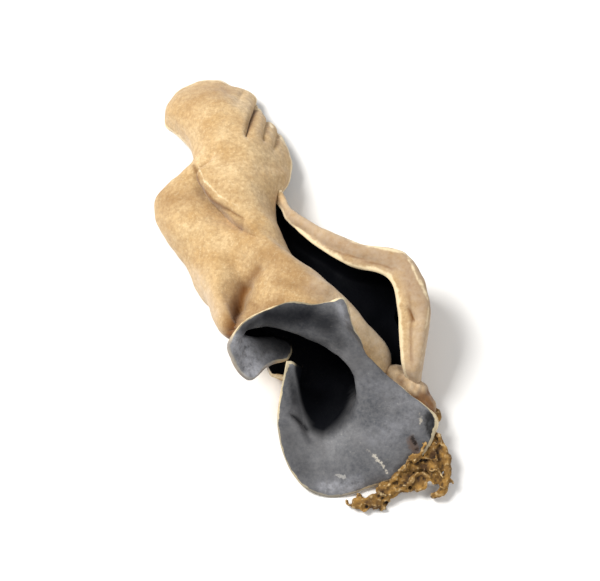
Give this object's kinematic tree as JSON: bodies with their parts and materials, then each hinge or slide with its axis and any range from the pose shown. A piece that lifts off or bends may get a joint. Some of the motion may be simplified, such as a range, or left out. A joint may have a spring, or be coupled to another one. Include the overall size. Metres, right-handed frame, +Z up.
{
  "type": "dried wood ear mushroom",
  "caption": "Dried wood ear: a thin leathery sheet rolled into a funnel, with a tongue at the far end, a second lobe at its side and a crumbly holdfast; rests flat on a table",
  "frame": {"origin": "middle of the ear's length and width, on the table it rests on", "axes": "+Z up, +Y from the mouth of the funnel towards the tip of the tongue, +X towards the second lobe"},
  "size_m": [0.0594, 0.0946, 0.0233],
  "materials": {
    "sheet": "tan felt-like back, smooth slate-grey to black inner face, pale thin margin"
  },
  "bodies": {
    "root": {"wood_ear": "sheet"}
  },
  "joints": []
}
